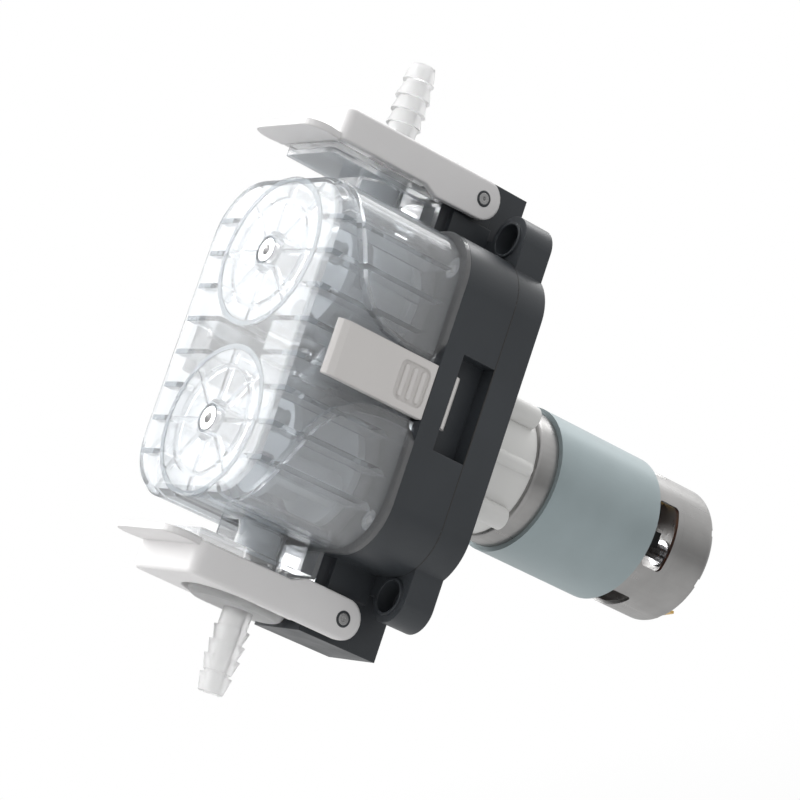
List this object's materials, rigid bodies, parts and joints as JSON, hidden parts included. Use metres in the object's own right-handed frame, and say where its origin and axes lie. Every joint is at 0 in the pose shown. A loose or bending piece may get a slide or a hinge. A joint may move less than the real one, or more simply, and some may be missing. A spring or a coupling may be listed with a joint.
{
  "type": "peristaltic pump",
  "caption": "Panel-mounted roller hose pump: clear clip-on head with paired rotors, barbed hose connectors held by fold-over levers, and a cylindrical gearmotor behind the base.",
  "frame": {"origin": "centre of the four mounting holes, on the back face of the base", "axes": "+X to the right seen from the pump head, +Y from the pump head towards the motor tail, +Z towards the upper hose connector"},
  "size_m": [0.072, 0.1808, 0.1872],
  "materials": {
    "base_plastic": "dark slate grey, fine satin",
    "lever_plastic": "light grey satin",
    "latch_plastic": "warm light grey satin",
    "clear_cover": "clear, polished",
    "clear_plate": "clear, polished",
    "connector_plastic": "translucent white",
    "gearbox_nylon": "off-white nylon",
    "motor_steel": "satin plated steel",
    "flux_band": "blue-grey sleeve",
    "shaft_steel": "ground",
    "screw_steel": "bright",
    "pin_steel": "turned",
    "terminal_brass": "stamped",
    "winding_copper": "enamelled wire",
    "magnet": "sintered",
    "carbon": "carbon block",
    "tube_rubber": "silicone",
    "rotor_plastic": "grey moulding",
    "roller_plastic": "pale moulding",
    "gear_plastic": "acetal"
  },
  "bodies": {
    "housing": {"base_back_plate": "base_plastic", "base_front_frame": "base_plastic", "flux_ring": "flux_band", "frame_screws": "screw_steel", "gearbox_housing": "gearbox_nylon", "gearbox_screws": "screw_steel", "idler_axle": "pin_steel", "latch_pins": "pin_steel", "lower_connector_plate": "clear_plate", "lower_hose_connector": "connector_plastic", "lower_lever_pin": "pin_steel", "motor_bearings": "shaft_steel", "motor_brushes": "carbon", "motor_can": "motor_steel", "motor_end_cap": "motor_steel", "motor_magnets": "magnet", "motor_mount_plate": "motor_steel", "motor_screws": "screw_steel", "motor_terminals": "terminal_brass", "output_bearing": "shaft_steel", "pump_head_cover": "clear_cover", "pump_tube": "tube_rubber", "rotor_bearings": "shaft_steel", "upper_connector_plate": "clear_plate", "upper_hose_connector": "connector_plastic", "upper_lever_pin": "pin_steel"},
    "upper_lever_body": {"upper_lever": "lever_plastic"},
    "lower_lever_body": {"lower_lever": "lever_plastic"},
    "latch_right_body": {"latch_right": "latch_plastic"},
    "latch_left_body": {"latch_left": "latch_plastic"},
    "upper_rotor": {"upper_rotor_shaft": "shaft_steel", "upper_rotor_screw": "screw_steel", "upper_rotor_back_disc": "rotor_plastic", "upper_rotor_front_disc": "rotor_plastic", "upper_roller_pins": "pin_steel", "upper_drive_wheel": "gear_plastic"},
    "lower_rotor": {"lower_rotor_shaft": "shaft_steel", "lower_rotor_screw": "screw_steel", "lower_rotor_back_disc": "rotor_plastic", "lower_rotor_front_disc": "rotor_plastic", "lower_roller_pins": "pin_steel", "lower_drive_wheel": "gear_plastic"},
    "idler": {"idler_gear": "gear_plastic"},
    "carrier": {"output_pinion": "shaft_steel", "planet_carrier": "gear_plastic", "planet_pins": "pin_steel"},
    "armature": {"motor_shaft": "shaft_steel", "armature_core": "motor_steel", "armature_windings": "winding_copper", "commutator": "winding_copper", "sun_gear": "shaft_steel"},
    "planet_1": {"planet_gear_1": "gear_plastic"},
    "upper_roller_body_1": {"upper_roller_1": "roller_plastic"},
    "lower_roller_body_1": {"lower_roller_1": "roller_plastic"},
    "planet_2": {"planet_gear_2": "gear_plastic"},
    "upper_roller_body_2": {"upper_roller_2": "roller_plastic"},
    "lower_roller_body_2": {"lower_roller_2": "roller_plastic"},
    "planet_3": {"planet_gear_3": "gear_plastic"},
    "upper_roller_body_3": {"upper_roller_3": "roller_plastic"},
    "lower_roller_body_3": {"lower_roller_3": "roller_plastic"}
  },
  "joints": [
    {"name": "upper_lever_hinge", "type": "hinge", "parent": "housing", "child": "upper_lever_body", "pos_m": [0, -0.0176, 0.06284], "axis": [-1, 0, 0], "range_deg": [0, 100]},
    {"name": "lower_lever_hinge", "type": "hinge", "parent": "housing", "child": "lower_lever_body", "pos_m": [0, -0.0176, -0.06284], "axis": [1, 0, 0], "range_deg": [0, 100]},
    {"name": "latch_right_hinge", "type": "hinge", "parent": "housing", "child": "latch_right_body", "pos_m": [0.0319, -0.057, 0], "axis": [0, 0, 1], "range_deg": [0, 3.5], "stiffness_Nm_per_rad": 2},
    {"name": "latch_left_hinge", "type": "hinge", "parent": "housing", "child": "latch_left_body", "pos_m": [-0.0319, -0.057, 0], "axis": [0, 0, -1], "range_deg": [0, 3.5], "stiffness_Nm_per_rad": 2},
    {"name": "armature_spin", "type": "hinge", "parent": "housing", "child": "armature", "pos_m": [0, 0.05, -0.0028], "axis": [0, 1, 0], "continuous": true},
    {"name": "carrier_spin", "type": "hinge", "parent": "housing", "child": "carrier", "pos_m": [0, -0.005, -0.0028], "axis": [0, 1, 0], "continuous": true},
    {"name": "idler_spin", "type": "hinge", "parent": "housing", "child": "idler", "pos_m": [0.01217, -0.0165, 0.00412], "axis": [0, 1, 0], "continuous": true},
    {"name": "upper_rotor_spin", "type": "hinge", "parent": "housing", "child": "upper_rotor", "pos_m": [0, -0.04, 0.0248], "axis": [0, 1, 0], "continuous": true},
    {"name": "lower_rotor_spin", "type": "hinge", "parent": "housing", "child": "lower_rotor", "pos_m": [0, -0.04, -0.0248], "axis": [0, 1, 0], "continuous": true},
    {"name": "planet_1_spin", "type": "hinge", "parent": "carrier", "child": "planet_1", "pos_m": [0.0105, 0.012, -0.0028], "axis": [0, 1, 0], "continuous": true},
    {"name": "planet_2_spin", "type": "hinge", "parent": "carrier", "child": "planet_2", "pos_m": [-0.00525, 0.012, 0.00629], "axis": [0, 1, 0], "continuous": true},
    {"name": "planet_3_spin", "type": "hinge", "parent": "carrier", "child": "planet_3", "pos_m": [-0.00525, 0.012, -0.01189], "axis": [0, 1, 0], "continuous": true},
    {"name": "upper_roller_1_spin", "type": "hinge", "parent": "upper_rotor", "child": "upper_roller_body_1", "pos_m": [0, -0.0409, 0.0362], "axis": [0, 1, 0], "continuous": true},
    {"name": "upper_roller_2_spin", "type": "hinge", "parent": "upper_rotor", "child": "upper_roller_body_2", "pos_m": [-0.00987, -0.0409, 0.0191], "axis": [0, 1, 0], "continuous": true},
    {"name": "upper_roller_3_spin", "type": "hinge", "parent": "upper_rotor", "child": "upper_roller_body_3", "pos_m": [0.00987, -0.0409, 0.0191], "axis": [0, 1, 0], "continuous": true},
    {"name": "lower_roller_1_spin", "type": "hinge", "parent": "lower_rotor", "child": "lower_roller_body_1", "pos_m": [0, -0.0409, -0.0134], "axis": [0, 1, 0], "continuous": true},
    {"name": "lower_roller_2_spin", "type": "hinge", "parent": "lower_rotor", "child": "lower_roller_body_2", "pos_m": [-0.00987, -0.0409, -0.0305], "axis": [0, 1, 0], "continuous": true},
    {"name": "lower_roller_3_spin", "type": "hinge", "parent": "lower_rotor", "child": "lower_roller_body_3", "pos_m": [0.00987, -0.0409, -0.0305], "axis": [0, 1, 0], "continuous": true}
  ],
  "couplings": [
    {"joint": "carrier_spin", "follows": "armature_spin", "ratio": 0.2},
    {"joint": "lower_rotor_spin", "follows": "armature_spin", "ratio": -0.075},
    {"joint": "upper_rotor_spin", "follows": "armature_spin", "ratio": 0.075},
    {"joint": "idler_spin", "follows": "armature_spin", "ratio": -0.15},
    {"joint": "planet_1_spin", "follows": "armature_spin", "ratio": -0.53333},
    {"joint": "planet_2_spin", "follows": "armature_spin", "ratio": -0.53333},
    {"joint": "planet_3_spin", "follows": "armature_spin", "ratio": -0.53333},
    {"joint": "lower_roller_1_spin", "follows": "armature_spin", "ratio": 0.25312},
    {"joint": "lower_roller_2_spin", "follows": "armature_spin", "ratio": 0.25312},
    {"joint": "lower_roller_3_spin", "follows": "armature_spin", "ratio": 0.25312},
    {"joint": "upper_roller_1_spin", "follows": "armature_spin", "ratio": -0.25312},
    {"joint": "upper_roller_2_spin", "follows": "armature_spin", "ratio": -0.25312},
    {"joint": "upper_roller_3_spin", "follows": "armature_spin", "ratio": -0.25312}
  ]
}
